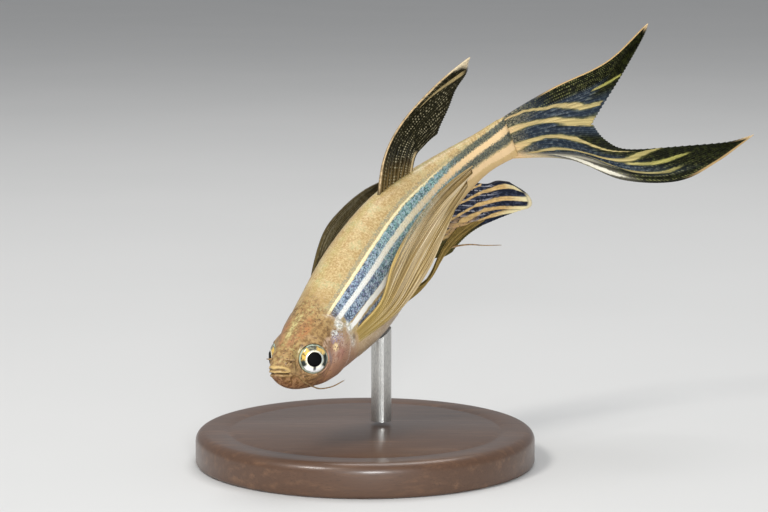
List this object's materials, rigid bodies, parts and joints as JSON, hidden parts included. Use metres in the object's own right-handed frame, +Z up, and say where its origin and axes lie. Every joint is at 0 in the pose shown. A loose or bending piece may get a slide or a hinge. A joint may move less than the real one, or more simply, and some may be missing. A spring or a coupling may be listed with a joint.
{
  "type": "zebra danio, long-finned form, life-size display model",
  "caption": "Still life-size model of a small striped aquarium fish diving in a bend, with long fins, barbels and separate eyes and gill covers, on a round stand with a rod.",
  "frame": {"origin": "middle of the stand's underside, on the surface it rests on", "axes": "+Z up, square to the stand's underside; +X towards the side that the tail reaches out to; the fish's left flank faces -Y"},
  "size_m": [0.0505, 0.0308, 0.0385],
  "materials": {
    "skin": "satin, painted with blue and cream stripes",
    "eye": "glossy, silver round a black pupil",
    "fin_dark": "satin, dark membrane with cream bands",
    "fin_clear": "satin, translucent tan with golden rays",
    "base": "satin, dark stained",
    "rod": "brushed"
  },
  "bodies": {
    "root": {"head": "skin", "lower_jaw": "skin", "gill_cover_left": "skin", "gill_cover_right": "skin", "eye_left": "eye", "eye_right": "eye", "barbel_chin_left": "skin", "barbel_chin_right": "skin", "barbel_nose_left": "skin", "barbel_nose_right": "skin", "trunk": "skin", "tail": "skin", "caudal_fin_upper": "fin_dark", "caudal_fin_lower": "fin_dark", "dorsal_fin": "fin_dark", "anal_fin": "fin_dark", "pectoral_fin_left": "fin_clear", "pectoral_fin_right": "fin_clear", "pelvic_fin_left": "fin_clear", "pelvic_fin_right": "fin_clear", "stand_base": "base", "stand_rod": "rod"}
  },
  "joints": []
}
